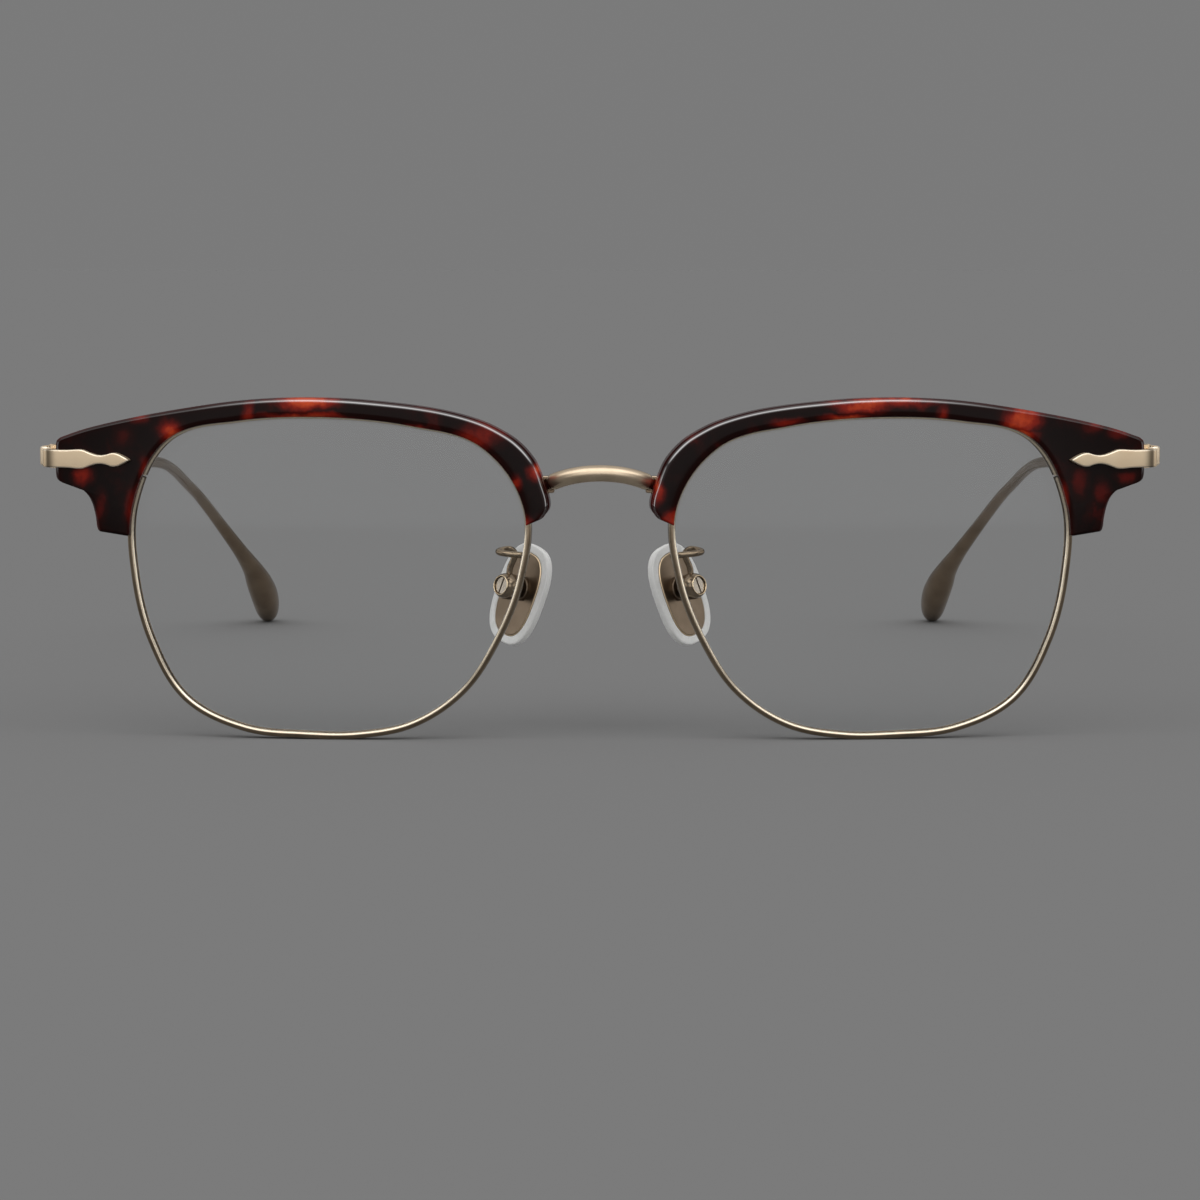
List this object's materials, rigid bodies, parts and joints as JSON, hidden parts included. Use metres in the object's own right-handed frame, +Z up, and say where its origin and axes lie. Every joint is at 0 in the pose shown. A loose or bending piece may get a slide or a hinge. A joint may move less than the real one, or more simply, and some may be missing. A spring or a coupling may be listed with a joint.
{
  "type": "browline glasses",
  "caption": "Browline glasses with acetate brows over full wire rims, adjustable nose pads and slim folding temples with drop ends.",
  "frame": {"origin": "on the surface that the glasses stand on, under the middle of their box; they stand open on the two rims and the two temple tips", "axes": "+X runs along the front to the wearer's left, which is the viewer's right from the front; +Y runs back along the temples, so the front faces -Y; +Z is up. The part mirrors across X = 0"},
  "size_m": [0.1452, 0.1422, 0.0438],
  "materials": {
    "lens": "clear demo lens, polished, with a faint reflection",
    "rim_wire": "satin antique bronze plating",
    "blocks": "satin antique bronze plating",
    "screws": "turned steel",
    "acetate": "polished dark red tortoise acetate",
    "champagne_metal": "brushed pale champagne gold plating",
    "temple_metal": "satin brown bronze plating",
    "pad_metal": "satin bronze plating with a bright edge",
    "silicone": "translucent white silicone",
    "washer": "white nylon"
  },
  "bodies": {
    "front": {"lens_left": "lens", "rim_left": "rim_wire", "closing_block_upper_left": "blocks", "closing_block_lower_left": "blocks", "brow_left": "acetate", "end_trim_left": "champagne_metal", "end_bracket_left": "blocks", "pad_arm_left": "pad_metal", "pad_holder_left": "pad_metal", "lens_right": "lens", "rim_right": "rim_wire", "closing_block_upper_right": "blocks", "closing_block_lower_right": "blocks", "brow_right": "acetate", "end_trim_right": "champagne_metal", "end_bracket_right": "blocks", "pad_arm_right": "pad_metal", "pad_holder_right": "pad_metal", "closing_screws": "screws", "bridge": "champagne_metal", "brow_screws": "screws", "hinge_screws": "screws", "hinge_washers": "washer"},
    "left_temple": {"temple_head_left": "champagne_metal", "temple_left": "temple_metal"},
    "right_temple": {"temple_head_right": "champagne_metal", "temple_right": "temple_metal"},
    "left_pad": {"pad_core_left": "pad_metal", "pad_screw_left": "screws", "nose_pad_left": "silicone"},
    "right_pad": {"pad_core_right": "pad_metal", "pad_screw_right": "screws", "nose_pad_right": "silicone"}
  },
  "joints": [
    {"name": "left_temple_fold", "type": "hinge", "parent": "front", "child": "left_temple", "pos_m": [0.07024, -0.05866, 0.03576], "axis": [0, 0, 1], "range_deg": [0, 84]},
    {"name": "right_temple_fold", "type": "hinge", "parent": "front", "child": "right_temple", "pos_m": [-0.07024, -0.05866, 0.03576], "axis": [0, 0, 1], "range_deg": [-77, 0]},
    {"name": "left_pad_turn", "type": "hinge", "parent": "front", "child": "left_pad", "pos_m": [0.0102, -0.06081, 0.01866], "axis": [0.6941, -0.6941, 0.1908], "range_deg": [-12, 12]},
    {"name": "right_pad_turn", "type": "hinge", "parent": "front", "child": "right_pad", "pos_m": [-0.0102, -0.06081, 0.01866], "axis": [-0.6941, -0.6941, 0.1908], "range_deg": [-12, 12]}
  ]
}
